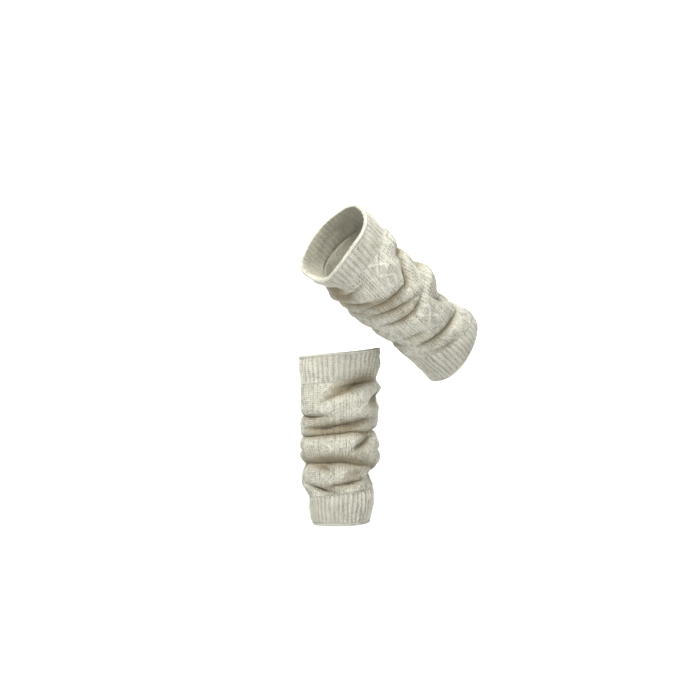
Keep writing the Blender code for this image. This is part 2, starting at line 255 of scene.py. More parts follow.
# %% The two tubes
STANDING = Tube(
    "standing", np.array([0.0, 0.0, 0.0]), np.array([0.0, 0.0, -256.0]),
    STANDING_SECTIONS, STANDING_FOLDS, STANDING_UPPER_EDGE, STANDING_LOWER_EDGE,
    Seam(42, -6), Seam(209, -7), -20.0)
RAISED = Tube(
    "raised", np.array([-9.0, -130.0, 162.0]), np.array([166.0, 0.0, 1.0]),
    RAISED_SECTIONS, RAISED_FOLDS, RAISED_UPPER_EDGE, RAISED_LOWER_EDGE,
    Seam(40, 0), Seam(231, 17), 14.0)
for tube in (STANDING, RAISED):
    print(tube.name, len(tube.sections), "sections,", len(tube.folds), "folds")

# %% [markdown]
# ## Smooth curves through the rows
# A table with a few rows is easy to read and to change. A cubic curve through the rows, with the
# slope at each row taken from its neighbours, gives every drop in between. Blender's own curves
# could do this too, but then each reading would need an object.

# %% Read a curve through a table
def through_rows(x, places, values):
    """Read a smooth curve through a table's rows, held level past its ends."""
    places = np.asarray(places, dtype=float)
    values = np.asarray(values, dtype=float)
    slopes = np.gradient(values, places)
    x = np.clip(x, places[0], places[-1])
    row = np.clip(np.searchsorted(places, x, side="right") - 1, 0, len(places) - 2)
    step = places[row + 1] - places[row]
    u = (x - places[row]) / step
    rise = values[row + 1] - values[row]
    start = slopes[row] * step
    end = slopes[row + 1] * step
    bend = 3 * rise - 2 * start - end
    twist = start + end - 2 * rise
    return values[row] + u * (start + u * (bend + u * twist))


def wrapped(angle):
    """Bring an angle in degrees between -180 and 180."""
    return (angle + 180.0) % 360.0 - 180.0


def round_the_edge(angle, edge, column):
    """Read one column of a mouth's edge at an angle, closing smoothly on itself."""
    rows = sorted(edge, key=lambda row: row.angle)
    places = [row.angle + turn for turn in (-360.0, 0.0, 360.0) for row in rows]
    values = [getattr(row, column) for row in rows] * 3
    return through_rows(wrapped(angle), places, values)


def smooth_step(x):
    """Ease from 0 to 1."""
    x = np.clip(x, 0.0, 1.0)
    return x * x * (3 - 2 * x)


print("upper edge at the front:", round_the_edge(np.array([0.0]), RAISED_UPPER_EDGE, "drop"))

# %% [markdown]
# ## The folded cloth
# Each fold pulls the cloth inwards along its line, with a rounded valley, and slides the cloth
# above it down, so that it hangs over the valley as a soft lip. Real knitting is never quite
# even either, so a few slow waves lift and sink it by a fraction of a millimetre. Sculpting could
# make such folds too, but a table of them can be read, checked and changed.

# %% The outer face of the cloth
UNEVEN_SEED = 7
UNEVEN_WAVES = 14
UNEVEN_HEIGHT = 0.28      # of each wave
UNEVEN_SWAY = 0.8         # how far a wave snakes sideways as it runs along, in radians
WAVES_ROUND = (2, 10)     # the least round the tube, and one more than the most
WAVE_LENGTH = (18, 55)    # along the tube


def section_radius(tube, angle, drop):
    """Radius of the plain tube, an ellipse with four unlike half sizes."""
    sine = np.sin(np.radians(angle))
    cosine = np.cos(np.radians(angle))
    places = [row.drop for row in tube.sections]
    half = {
        name: through_rows(drop, places, [getattr(row, name) for row in tube.sections])
        for name in ("right", "left", "front", "back")
    }
    across = np.where(sine > 0, half["right"], half["left"])
    deep = np.where(cosine > 0, half["front"], half["back"])
    return across * sine**2 + deep * cosine**2


def folded(tube, angle, drop):
    """How far the folds pull the cloth inwards, and slide it down the tube."""
    turn = np.radians(angle)
    inwards = np.zeros(np.broadcast(angle, drop).shape)
    slide = np.zeros_like(inwards)
    for fold in tube.folds:
        off_side = np.minimum(np.abs(wrapped(angle - fold.side)) / fold.spread, 1.0)
        strength = np.cos(off_side * np.pi / 2) ** 2
        line = fold.drop + fold.tilt * np.sin(turn) + fold.bow * (1 - np.cos(turn))
        past = drop - line
        width = np.where(past < 0, fold.above, fold.below)
        rounded = np.sqrt(past**2 + CREASE_ROUNDING**2) - CREASE_ROUNDING
        inwards += fold.depth * strength * np.exp(-rounded / width)
        from_lip = -past / fold.above if fold.lap > 0 else past / fold.below
        from_lip = np.clip(from_lip, 0.0, None)
        slide += fold.lap * strength * from_lip * np.exp(1 - from_lip)
    return inwards, slide


def seam_line(seam, angles):
    """Drop of the line where two stretches meet, at each angle."""
    return seam.drop + seam.tilt * np.sin(np.radians(angles))


def calm(tube, angle, drop, reach):
    """0 on both seams, rising to 1 a reach away from them."""
    ease = np.ones(np.broadcast(angle, drop).shape)
    for seam in (tube.upper_seam, tube.lower_seam):
        ease = ease * np.clip(np.abs(drop - seam_line(seam, angle)) / reach, 0.0, 1.0)
    return ease


def unevenness(angle, drop):
    """Slow soft waves in the cloth, in millimetres."""
    waves = np.random.default_rng(UNEVEN_SEED)
    turn = np.radians(angle)
    total = np.zeros(np.broadcast(angle, drop).shape)
    for _ in range(UNEVEN_WAVES):
        round_it = waves.integers(*WAVES_ROUND)
        along_it = waves.uniform(*WAVE_LENGTH)
        phase = waves.uniform(0, 2 * np.pi, 2)
        sway = UNEVEN_SWAY * np.sin(drop / along_it + phase[1])
        total += (np.sin(round_it * turn + phase[0] + sway)
                  * np.sin(2 * np.pi * drop / along_it + phase[1]))
    return UNEVEN_HEIGHT * total


def profile(tube, angle, drop):
    """Where the cloth's outer face lies along a tube and how far from its middle line."""
    upper = round_the_edge(angle, tube.upper_edge, "drop")
    flare = round_the_edge(angle, tube.upper_edge, "flare")
    inwards, slide = folded(tube, angle, drop)
    fade = np.clip((drop - upper) / FLARE_LENGTH, 0.0, 1.0)
    slide = slide * calm(tube, angle, drop, SEAM_CALM)
    along = drop + slide * fade
    radius = section_radius(tube, angle, drop) - inwards * fade + flare * (1 - fade) ** 2
    return along, radius + unevenness(angle, drop), inwards * fade


def place(tube, angle, along, radius):
    """Points at a place along a tube, as arrays of x, y, z in millimetres."""
    axis = tube.bottom - tube.top
    axis = axis / np.linalg.norm(axis)
    right = np.cross(np.array([0.0, 1.0, 0.0]), axis)
    if right[0] < 0:
        right = -right
    right = right / np.linalg.norm(right)
    front = np.cross(axis, right)
    turn = np.radians(angle)
    across = (radius * np.sin(turn))[..., None]
    forward = (radius * np.cos(turn))[..., None]
    return tube.top + along[..., None] * axis + across * right + forward * front


drops = np.linspace(60.0, 200.0, 5)
print("folds pull the front in by", np.round(folded(STANDING, np.zeros(5), drops)[0], 1), "mm")

# %% [markdown]
# ## A grid of stitches
# The columns of the grid follow the wales, which wander a little to the sides as they do in a
# stretched knit, and its rows are spaced evenly along the folded cloth. The same grid carries
# the shape and, in its UV map, the wale and course of each stitch, so a material can draw them.

# %% Columns and rows of the grid
ROW_SAMPLES = 421         # fine steps along a column, for measuring its length
SMOOTHING_ROUNDS = 60     # for the lengths of neighbouring columns
Swing = namedtuple("Swing", "degrees round_it along_it twisted")
SWINGS = [
    Swing(0.9, 2, 38, 1),
    Swing(0.5, 5, -23, 0),
    Swing(0.28, 11, 14, 0),
    Swing(0.2, 17, -19, 1),
]


def wander(tube, angle, drop):
    """How far the wales swing sideways, in degrees."""
    turn = np.radians(angle)
    return sum(
        swing.degrees * np.sin(
            swing.round_it * turn + drop / swing.along_it + swing.twisted * tube.twist)
        for swing in SWINGS)


def even_rows(tube, angles, start, end, rows):
    """Drops of evenly spaced rows between two lines, and the length of each column.

    Both are measured along the folded cloth.
    """
    share = np.linspace(0.0, 1.0, ROW_SAMPLES)[:, None]
    fine = start[None, :] + share * (end - start)[None, :]
    around = angles[None, :] + wander(tube, angles[None, :], fine)
    along, radius, _ = profile(tube, around, fine)
    spots = place(tube, around, along, radius)
    steps = np.linalg.norm(np.diff(spots, axis=0), axis=-1)
    length = np.vstack([np.zeros(len(angles)), np.cumsum(steps, axis=0)])
    smoothed = length[-1].copy()
    for _ in range(SMOOTHING_ROUNDS):
        smoothed = (np.roll(smoothed, 1) + smoothed + np.roll(smoothed, -1)) / 3
    shares = np.linspace(0.0, 1.0, rows + 1)
    columns = [np.interp(shares * length[-1, col], length[:, col], fine[:, col])
               for col in range(len(angles))]
    return np.stack(columns, axis=1), smoothed


swings = wander(STANDING, np.arange(0.0, 360.0, 2.0), 100.0)
print("wales swing sideways by up to", np.round(np.abs(swings).max(), 2), "degrees")

# %% [markdown]
# ## What the needles raise
# A rib is two knit wales that stand out and two purl wales that sink back. A cable is two strands
# of stitches that part round a lozenge of fine ribs and cross again. Beside each cable runs a
# raised line, then a panel of low ribs. All of it is one height for each point of the grid. It is
# real relief rather than a bump, because it shows along the outline and on the folds.

# %% Heights of the ribs and cables
LOZENGES = 10             # along one body
ROPE_HEIGHT = 2.3         # of a cable's strand
ROPE_GROOVE = 0.6         # between the wales of a strand
STRAND_SWING = 3.7        # wales to either side
STRAND_HALF = 1.8         # wales from a strand's middle to its edge
LINE_PLACE = 8.5          # wales from a cable's middle to the raised line beside it
LINE_HEIGHT = 1.2
LINE_HALF = 1.05          # wales from the raised line's middle to its edge
LOZENGE_RIB = 0.55        # height of the fine ribs inside a lozenge
LOZENGE_EASE = 1.2        # wales over which those ribs rise from the strand
SINKS_UNDER = 0.38        # share of its height that a strand loses as it passes under
CROSSING = 1.5            # wales between two strands that are crossing
ROLL_ROUND = 0.8          # less is flatter on top
SEED_FROM, SEED_RATE = 2.2, 2.0    # seed stitch comes in from 1.1 down to 0.6 millimetres
KNIT_MIDDLE, KNIT_SWING = 0.78, 1.15    # how a rib goes over from knit to purl
KNIT_LIFT = 0.45          # share of a rib's height that its knit wales stand on
PURL_ROLL, KNIT_ROLL = 0.15, 1.2    # height of a wale's own roll on purl, and more on knit
GROUND_LEVEL, GROUND_ROLL = 0.1, 0.95    # of the panels beside a cable


def wale_roll(wale):
    """Each wale is a small round ridge."""
    return np.abs(np.sin(np.pi * wale)) ** ROLL_ROUND


def rib_relief(wale):
    """Height of a ribbed cuff above its ground, in millimetres."""
    over = -np.cos(2 * np.pi * wale / WALES_PER_RIB)
    knit = smooth_step(KNIT_MIDDLE + KNIT_SWING * over)
    return RIB_HEIGHT * KNIT_LIFT * knit + (PURL_ROLL + KNIT_ROLL * knit) * wale_roll(wale)


def cable_relief(wale, share):
    """Height of a cabled body, the wale of its strand, and how far it is seed stitch."""
    off = (wale + WALES_PER_REPEAT / 2) % WALES_PER_REPEAT - WALES_PER_REPEAT / 2
    swing = STRAND_SWING * np.cos(np.pi * LOZENGES * share)
    ground = GROUND_LEVEL + GROUND_ROLL * wale_roll(off / 2)
    inside = smooth_step((np.abs(swing) - np.abs(off)) / LOZENGE_EASE)
    height = ground + inside * LOZENGE_RIB * np.abs(np.cos(np.pi * off)) ** 0.7
    stitch = off.copy()
    crossing = np.exp(-(swing / CROSSING) ** 2)
    for side, lies_under in ((-1.0, 1.0), (1.0, 0.0)):
        away = (off - side * swing) / STRAND_HALF
        dome = np.clip(1 - np.abs(away), 0.0, 1.0)
        full = ROPE_HEIGHT * (1 - SINKS_UNDER * lies_under * crossing)
        rope = full * np.sqrt(np.clip(dome * (2 - dome), 0, 1))
        rope = rope - ROPE_GROOVE * (1 - wale_roll(away * STRAND_HALF)) * (dome > 0.05)
        stitch = np.where(rope > height, off - side * swing, stitch)
        height = np.maximum(height, rope)
    for side in (-1.0, 1.0):
        away = np.abs(off - side * LINE_PLACE)
        line = LINE_HEIGHT * np.sqrt(np.clip(1 - (away / LINE_HALF) ** 2, 0, 1))
        height = np.maximum(height, line)
    seed = smooth_step(SEED_FROM - SEED_RATE * height)
    return height, stitch, seed


probe = np.linspace(-14, 14, 9)
print("rib heights:", np.round(rib_relief(probe), 2))
print("cable heights:", np.round(cable_relief(probe, np.zeros(9))[0], 2))

# %% [markdown]
# ## A closed shell of cloth
# The grid's outer points carry the relief. The inner face follows the folds only softly, because
# inside each one the cloth is bunched up, so it widens slowly away from a crease. It has half as
# many columns, as little of it shows. Rounded rims join the two. At an open mouth the rim is the
# cast-off edge, a firm little cord of stitches. A Solidify modifier would be shorter, but its
# inner face would cross itself in the deep folds.

# %% Inner face, rims and the mesh
RIM_STEPS = 5             # rows over a rounded rim
INNER_SAMPLES = 361       # fine steps along a column of the inner face
INNER_SIDES = (-5.0, 0.0, 5.0)    # degrees to either side that the inner face feels
INNER_SLOPE = 0.45        # how fast the inner face may widen away from a crease
INNER_REACH = 30.0        # how far past a seam the inner face still feels the creases
INNER_ROUNDS = 2          # of smoothing along the tube
INNER_RIBS = 0.6          # share of the outer ribs that shows inside a cuff
INNER_ROLL = 0.2          # height of the wales inside a body


def inner_rows(tube, angles, start, end, rows, ribbed):
    """Rings of the inner face: inside the nearest creases by the thickness of the cloth."""
    share = np.linspace(0.0, 1.0, INNER_SAMPLES)[:, None]
    fine = (start - INNER_REACH)[None, :] + share * (end - start + 2 * INNER_REACH)[None, :]
    along, _, _ = profile(tube, angles[None, :], np.stack([start, end]))
    levels = np.linspace(along[0], along[1], rows + 1)
    least = np.full(levels.shape, np.inf)
    for side in INNER_SIDES:
        near_along, near_radius, _ = profile(tube, angles[None, :] + side, fine)
        for row in range(rows + 1):
            past = np.maximum(np.abs(near_along - levels[row]) - CLOTH, 0.0)
            least[row] = np.minimum(least[row], (near_radius + INNER_SLOPE * past).min(axis=0))
    for _ in range(INNER_ROUNDS):
        least[1:-1] = np.minimum(least[1:-1], (least[:-2] + least[1:-1] + least[2:]) / 3)
    wale = (angles - tube.twist) / 360.0 * RIBS * WALES_PER_RIB
    relief = rib_relief(wale + 2) * INNER_RIBS if ribbed else INNER_ROLL * wale_roll(wale)
    return place(tube, np.broadcast_to(angles, levels.shape), levels,
                 least - CABLE_HEIGHT - CLOTH - relief)


def grid_faces(first, rows, columns, flip):
    """Quads of a grid that closes round its columns, as an array of point numbers."""
    row = np.arange(rows)[:, None] * columns
    here = np.arange(columns)[None, :]
    there = (here + 1) % columns
    corners = [row + here, row + columns + here, row + columns + there, row + there]
    if flip:
        corners.reverse()
    return first + np.stack(corners, axis=-1).reshape(-1, 4)


def grid_uvs(wale, course):
    """UV corners to go with grid_faces, with the last column closing at one more column."""
    step = wale[:, -1:] - wale[:, -2:-1]
    wide = np.concatenate([wale, wale[:, -1:] + step], axis=1)
    tall = np.concatenate([course, course[:, :1]], axis=1)
    left = np.stack([wide[:, :-1], tall[:, :-1]], axis=-1)
    right = np.stack([wide[:, 1:], tall[:, 1:]], axis=-1)
    return np.stack([left[:-1], left[1:], right[1:], right[:-1]], axis=2).reshape(-1, 4, 2)


def rim_arc(outer, inner, along_tube, bulge):
    """Points over a rounded rim, from the outer face to the inner one."""
    middle = (outer + inner) / 2
    turn = np.linspace(0, np.pi, RIM_STEPS + 2)[1:-1, None, None]
    return middle + (outer - middle) * np.cos(turn) + bulge * np.sin(turn) * along_tube


def cloth_mesh(name, outer, inner, uvs, marks):
    """Join an outer grid, rims included, and an inner grid of half its columns into a mesh."""
    rows, columns = outer.shape[0] - 1, outer.shape[1]
    inner_columns = inner.shape[1]
    points = np.concatenate([outer.reshape(-1, 3), inner.reshape(-1, 3)]) * MM
    inner_first = len(outer) * columns
    inner_last = inner_first + (len(inner) - 1) * inner_columns
    outer_last = rows * columns
    quads = np.concatenate([grid_faces(0, rows, columns, False),
                            grid_faces(inner_first, len(inner) - 1, inner_columns, True)])
    here = np.arange(inner_columns)
    there = (here + 1) % inner_columns
    left, middle, right = 2 * here, 2 * here + 1, (2 * here + 2) % columns
    upper = np.stack([left, middle, right, inner_first + there, inner_first + here], axis=-1)
    lower = np.stack([outer_last + right, outer_last + middle, outer_last + left,
                      inner_last + here, inner_last + there], axis=-1)
    mesh = bpy.data.meshes.new(name)
    mesh.from_pydata(points.tolist(), [], quads.tolist() + upper.tolist() + lower.tolist())
    layer = mesh.uv_layers.new(name="stitches")
    corners = np.zeros((len(mesh.loops), 2), dtype=np.float32)
    corners[:uvs.size // 2] = uvs.reshape(-1, 2)
    layer.data.foreach_set("uv", corners.ravel())
    for mark, values in marks.items():
        attribute = mesh.attributes.new(mark, "FLOAT", "POINT")
        attribute.data.foreach_set("value", values.astype(np.float32).ravel())
    mesh.shade_smooth()
    mesh.update()
    return mesh


print("a shell has one outer and one inner grid, joined over", RIM_STEPS, "rim rows")

# %% [markdown]
# ## One stretch of knitting
# A stretch is a cuff or a body. The function works out its rows along the folded cloth, raises
# the ribs or cables, rounds its rims and notes three things for the material at every point:
# how deep it lies in a fold, how high it stands on the relief, and whether it is seed stitch. The
# first two set where the material paints shade into the colour.
# These could be painted by hand on the mesh, but the sums that shape it know them already.

# %% Make a stretch
COLUMNS_PER_WALE = 4
CAST_OFF = 2.6            # height of the cast-off cord along a mouth
CORD_FOOT, CORD_ROUND, CORD_BEADS = 1.0, 0.85, 0.22    # heights of its foot, roll and stitches
CORD_BULGE = 1.1          # how far the cord rounds out past the mouth
GROOVE_LEVEL = 0.25       # height of the groove beside the cord
GROOVE_RISE = 2.2         # how far the ribs take to rise out of the groove
RIB_FADE = 1.8            # how far from the seam the ribs fade
SEAM_LEVEL = 0.9          # height of the row of stitches on each side of a seam
SEAM_RISE = 3.5           # how far the body takes to reach its pattern from its first row
RIM_COURSE = 0.4          # courses from one rim row to the next
DEEP_FOLD = 13.0          # a fold this deep is marked as 1
INSIDE_FOLD_SHADE = 0.35      # the inner face's own marks, which give it painted shade
INSIDE_RAISED = 0.3


def cuff_heights(wale, from_mouth, from_seam):
    """Ribs, which end just before the seam, and the cast-off cord along the mouth."""
    height = SEAM_LEVEL + (rib_relief(wale) - SEAM_LEVEL) * smooth_step(from_seam / RIB_FADE)
    across = np.clip(1 - ((from_mouth - CAST_OFF / 2) / (CAST_OFF / 2)) ** 2, 0, 1)
    beads = CORD_ROUND + CORD_BEADS * np.cos(2 * np.pi * wale)
    cord = CORD_FOOT + np.sqrt(across) * beads
    ease = smooth_step((from_mouth - CAST_OFF) / GROOVE_RISE)
    ribs = GROOVE_LEVEL + (height - GROOVE_LEVEL) * ease
    return np.where(from_mouth < CAST_OFF, cord, ribs)


def knit_stretch(name, tube, wales, rows, inner_count, start, end, cuff, mouth_first):
    """Make the mesh of one stretch, and say its width and length laid flat, in metres."""
    columns = wales * COLUMNS_PER_WALE
    angles = tube.twist + np.arange(columns) * 360.0 / columns
    if cuff:
        angles = angles - 180.0 / RIBS
    first, final = start(angles), end(angles)
    drops, lengths = even_rows(tube, angles, first, final, rows)
    around = angles[None, :] + wander(tube, angles[None, :], drops)
    along, radius, hollow = profile(tube, around, drops)
    share = np.linspace(0, 1, rows + 1)[:, None] * np.ones_like(drops)
    wale = np.broadcast_to(np.arange(columns) / COLUMNS_PER_WALE, drops.shape)
    down = share * lengths[None, :]
    if cuff:
        from_mouth = down if mouth_first else lengths[None, :] - down
        height = cuff_heights(wale, from_mouth, lengths[None, :] - from_mouth)
        stitch, seed = wale, np.zeros_like(wale)
    else:
        height, stitch, seed = cable_relief(wale, share)
        from_seam = np.minimum(down, lengths[None, :] - down)
        height = SEAM_LEVEL + (height - SEAM_LEVEL) * smooth_step(from_seam / SEAM_RISE)
    outer = place(tube, around, along, radius + height - CABLE_HEIGHT)
    inner = inner_rows(tube, angles[::2], first[::2], final[::2], inner_count, cuff)

    axis = (tube.bottom - tube.top) / np.linalg.norm(tube.bottom - tube.top)
    rims = []
    for row, way, open_mouth in ((0, -axis, cuff and mouth_first),
                                 (-1, axis, cuff and not mouth_first)):
        between = (inner[row] + np.roll(inner[row], -1, axis=0)) / 2
        all_round = np.stack([inner[row], between], axis=1).reshape(-1, 3)
        rims.append(rim_arc(outer[row], all_round, way, CORD_BULGE if open_mouth else 0.0))
    whole = np.concatenate([rims[0][::-1], outer, rims[1]])

    def pad(values, fill_first, fill_last):
        """Carry a grid's values over the rim rows."""
        top = np.broadcast_to(fill_first, (RIM_STEPS, columns))
        foot = np.broadcast_to(fill_last, (RIM_STEPS, columns))
        return np.concatenate([top, values, foot])

    course = down / COURSE
    rim_rows = np.arange(1, RIM_STEPS + 1)[:, None] * RIM_COURSE
    wale_all = pad(stitch, stitch[0], stitch[-1])
    course_all = np.concatenate([course[0] - rim_rows[::-1], course, course[-1] + rim_rows])
    inner_wale = np.broadcast_to(np.arange(columns // 2) / 2.0, inner.shape[:2])
    inner_course = np.linspace(0, 1, inner_count + 1)[:, None] * (lengths[::2] / COURSE)[None, :]
    inner_uv = grid_uvs(inner_wale, inner_course)[:, ::-1]
    uvs = np.concatenate([grid_uvs(wale_all, course_all), inner_uv])
    blank = np.zeros(inner.shape[:2])
    # The fold depth and the relief height set the shade that the material paints; the inner face
    # gets fixed values of both.
    fold_depth_for_shade_all = pad(hollow, hollow[0], hollow[-1]) / DEEP_FOLD
    raised_all = pad(height, height[0], height[-1]) / CABLE_HEIGHT
    seed_all = pad(seed, 0.0, 0.0)
    marks = {
        "hollow": np.concatenate([fold_depth_for_shade_all.ravel(), blank.ravel() + INSIDE_FOLD_SHADE]),
        "raised": np.concatenate([raised_all.ravel(), blank.ravel() + INSIDE_RAISED]),
        "seed": np.concatenate([seed_all.ravel(), blank.ravel()]),
    }
    mesh = cloth_mesh(name, whole, inner, uvs, marks)
    width = 2 * np.pi * float(np.mean(radius)) * MM
    length = float(np.mean(lengths)) * MM
    return mesh, (width, length)


print("cast-off cord:", CAST_OFF, "mm high")

# %% [markdown]
# ## Writing a material as sums
# A shader is a web of small nodes. It is easier to read as sums, so this class wraps a socket
# and adds a Math node whenever two values are added, multiplied and so on. Colours go through
# Mix nodes, because a Math node would turn a colour grey.

# %% A wrapped socket
class Wool:
    """A value on its way through a material's nodes."""

    def __init__(self, tree, socket):
        self.tree = tree
        self.socket = socket

    def node(self, kind, settings=None, output=0, **sockets):
        """Add a node, with its settings set first and then its sockets.

        A socket is named with its spaces as underscores, or by its number, as in _0.
        """
        added = self.tree.nodes.new(kind)
        for key, value in (settings or {}).items():
            setattr(added, key, value)
        for key, value in sockets.items():
            numbered = key[0] == "_" and key[1:].isdigit()
            target = added.inputs[int(key[1:]) if numbered else key.replace("_", " ")]
            if isinstance(value, Wool):
                self.tree.links.new(value.socket, target)
            else:
                target.default_value = value
        return Wool(self.tree, added.outputs[output] if added.outputs else None)

    def maths(self, operation, *values):
        """Add one Math node."""
        return self.node("ShaderNodeMath", {"operation": operation},
                         **{f"_{number}": value for number, value in enumerate(values)})

    def __add__(self, other):
        return self.maths("ADD", self, other)

    def __radd__(self, other):
        return self.maths("ADD", other, self)

    def __sub__(self, other):
        return self.maths("SUBTRACT", self, other)

    def __rsub__(self, other):
        return self.maths("SUBTRACT", other, self)

    def __mul__(self, other):
        return self.maths("MULTIPLY", self, other)

    def __rmul__(self, other):
        return self.maths("MULTIPLY", other, self)

    def __truediv__(self, other):
        return self.maths("DIVIDE", self, other)

    def __pow__(self, other):
        return self.maths("POWER", self, other)

    def part(self, number):
        """One of the three numbers of a vector."""
        return self.node("ShaderNodeSeparateXYZ", {}, number, Vector=self)

    def fraction(self):
        """What is left above the whole number below."""
        return self.maths("FRACT", self)

    def size(self):
        """The value without its sign."""
        return self.maths("ABSOLUTE", self)

    def wave(self):
        """A wave from 0 to 1 that repeats at every whole number."""
        return self.maths("COSINE", self * (2 * math.pi)) * 0.5 + 0.5

    def root(self):
        """Square root of the part above 0."""
        return self.maths("SQRT", self.maths("MAXIMUM", self, 0.0))

    def kept(self, low=0.0, high=1.0):
        """The value held between two limits."""
        return self.maths("MINIMUM", self.maths("MAXIMUM", self, low), high)

    def blend(self, first, second):
        """A colour that goes from first to second as this value goes from 0 to 1."""
        return self.node("ShaderNodeMix", {"data_type": "RGBA"}, 2, _0=self, _6=first, _7=second)


print("sums that the class knows:", "+ - * / ** part fraction size wave root kept blend")

# %% [markdown]
# ## Cream wool
# Knitting seen close is rows of plump V shapes: each stitch has two legs of yarn that lean
# together at the foot. The V shapes are finer than the grid, so they go into a bump map drawn
# from the UV map's wale and course, two wales to a V. Low ground has round purl beads instead,
# and loose fibres blur it all. A photographed texture would be quicker to apply, but its stitches
# would not follow these folds.
#
# Colour is never even in wool: the fibres are heathered, and a darker tint drifts slowly over the
# whole ball of yarn. Shade is painted into the colour as well: in the gaps between stitches, most
# where the knitting is loose, on the ground between ribs and cables, and darker and warmer deep
# in a fold and on the inner face.

# %% The knitted finish
LIGHT_CREAM = (0.74, 0.73, 0.635, 1.0)
DARK_FIBRE_AND_PAINTED_SHADE = (0.20, 0.19, 0.145, 1.0)    # painted shade in the gaps between stitches and on low ground, and the darker heathered fibres
PAINTED_FOLD_SHADE = (0.245, 0.2, 0.115, 1.0)      # painted shade, darker and warmer, deep in a fold
SLOW_TINT = (0.50, 0.48, 0.37, 1.0)       # in slow patches
SHEEN_TINT = (1.0, 0.97, 0.9, 1.0)
STITCHES_PER_WALE = 0.5
LEG_LEAN = 0.55           # courses that a leg of a V leans by
SIDE_STRAY = 0.2          # stitches that the yarn strays sideways
COURSE_STRAY = 0.5        # courses that it strays up and down
GAP_BELOW = 0.55          # where a stitch is lower than this, painted shade darkens the gap
HIGH_RELIEF = 0.8         # relief below this mark gets painted shade
VALLEY_SHADE = 0.5        # how much painted shade the ground between ribs or cables gets
HEATHER_SHADE = 2.2       # how strongly the fibres differ
DEEP_FROM, DEEP_RISE, DEEP_MOST = 0.15, 1.8, 0.9    # how the painted fold shade comes in
SLOW_FROM, SLOW_RISE, SLOW_MOST = 0.45, 1.2, 0.45    # how the slow patches come in
BUMP_HEIGHT = 0.0018      # of a full stitch, in metres

# Noises, as scale and detail: a greater scale has finer spots
DRIFT = (160.0, 1.0)
FIBRES = (1500.0, 3.0)
TUFTS = (420.0, 2.0)
SLOW = (22.0, 2.0)
HEATHER = (560.0, 3.0)
LOOSENESS = (75.0, 2.0)
ROUGH_NOISE = 0.7


def fresh_material(name):
    """An empty material, and a place to start its sums from."""
    material = bpy.data.materials.new(name)
    material.use_nodes = True
    material.node_tree.nodes.clear()
    return material, Wool(material.node_tree, None)


def knitted_wool(name):
    """Material of one kind of stretch: stitches, fibres, uneven cream wool and painted shade."""
    material, start = fresh_material(name)
    stitches = start.node("ShaderNodeUVMap", {"uv_map": "stitches"})
    wale, course = stitches.part(0), stitches.part(1)
    spot = start.node("ShaderNodeTexCoord", {}, 3)

    def mark(title):
        """Read one of the marks that the mesh carries."""
        return start.node("ShaderNodeAttribute", {"attribute_name": title}, 2)

    def noise(scale, detail, **more):
        """Soft random values between 0 and 1, fixed to the cloth."""
        return start.node("ShaderNodeTexNoise", {}, 0,
                          Vector=spot, Scale=scale, Detail=detail, **more)

    hollow, raised, seed = mark("hollow"), mark("raised"), mark("seed")

    drift = noise(*DRIFT)
    across = wale * STITCHES_PER_WALE + (drift - 0.5) * SIDE_STRAY
    side = (across.fraction() - 0.5).size() * 2
    leg = (1 - (side * 2 - 1) ** 2).root()
    slant = (course + (drift - 0.5) * COURSE_STRAY - side * LEG_LEAN).wave()
    vee = leg * (slant * 0.75 + 0.25)
    bead = (wale * STITCHES_PER_WALE + course * 0.5).wave() * course.wave()
    stitch = vee * (1 - seed) + bead * seed
    fibres = noise(*FIBRES, Roughness=ROUGH_NOISE)
    tufts = noise(*TUFTS, Distortion=1.5)
    height = stitch * 0.75 + fibres * 0.35 + tufts * 0.35

    slow = noise(*SLOW)
    heather = noise(*HEATHER, Roughness=ROUGH_NOISE)
    looseness = noise(*LOOSENESS)
    # Painted shade: darker in the gaps between stitches, most where the knitting is loose, and on
    # the low ground between ribs and cables. The heather is the wool's own tone.
    gap_shade = (GAP_BELOW - stitch).kept() * ((looseness - 0.38) * 5.5).kept(0.25, 1.35)
    low_ground_shade = (HIGH_RELIEF - raised).kept() * VALLEY_SHADE
    between = (gap_shade + low_ground_shade + (heather - 0.5) * HEATHER_SHADE).kept()
    colour = between.blend(LIGHT_CREAM, DARK_FIBRE_AND_PAINTED_SHADE)
    # Painted shade: darker and warmer deep in a fold and on the inner face.
    fold_shade = ((hollow - DEEP_FROM) * DEEP_RISE + (heather - 0.5) * 0.6).kept(0.0, DEEP_MOST)
    colour = (fold_shade * (hollow * 3.0).kept()).blend(colour, PAINTED_FOLD_SHADE)
    patches = ((slow - SLOW_FROM) * SLOW_RISE).kept(0.0, SLOW_MOST)
    colour = patches.blend(colour, SLOW_TINT)
    bump = start.node("ShaderNodeBump", {}, 0, Strength=1.0, Distance=BUMP_HEIGHT, Height=height)
    shader = start.node("ShaderNodeBsdfPrincipled", {}, 0, Base_Color=colour,
                        Roughness=0.88 + 0.12 * fibres, Metallic=0.0, Specular_IOR_Level=0.12,
                        Sheen_Weight=0.22, Sheen_Roughness=0.55, Sheen_Tint=SHEEN_TINT,
                        Normal=bump)
    shader.node("ShaderNodeOutputMaterial", Surface=shader)
    return material


body_wool = knitted_wool("cream_body_wool")
cuff_wool = knitted_wool("cream_cuff_wool")
print("nodes in the wool:", len(body_wool.node_tree.nodes))

# %% [markdown]
# ## The six stretches
# Each tube is knitted in three stretches that meet along two seams. Every piece stands in for
# the plain solid of its name and rides on its body, and its size laid flat is printed. The cuffs
# are held stretched, and the bodies gathered. Bodies and cuffs have a material each, so that one
# can be dyed without the other.

# %% Knit the pair
BODY_WALES = CABLES * WALES_PER_REPEAT
CUFF_WALES = RIBS * WALES_PER_RIB
UPPER_CUFF_ROWS = (40, 22)    # of the outer and of the inner face
BODY_ROWS = (116, 38)
LOWER_CUFF_ROWS = (44, 22)
RIM_INSET = 1.0               # room for the rounded rim at an open mouth
SEAM_HALF = 0.06


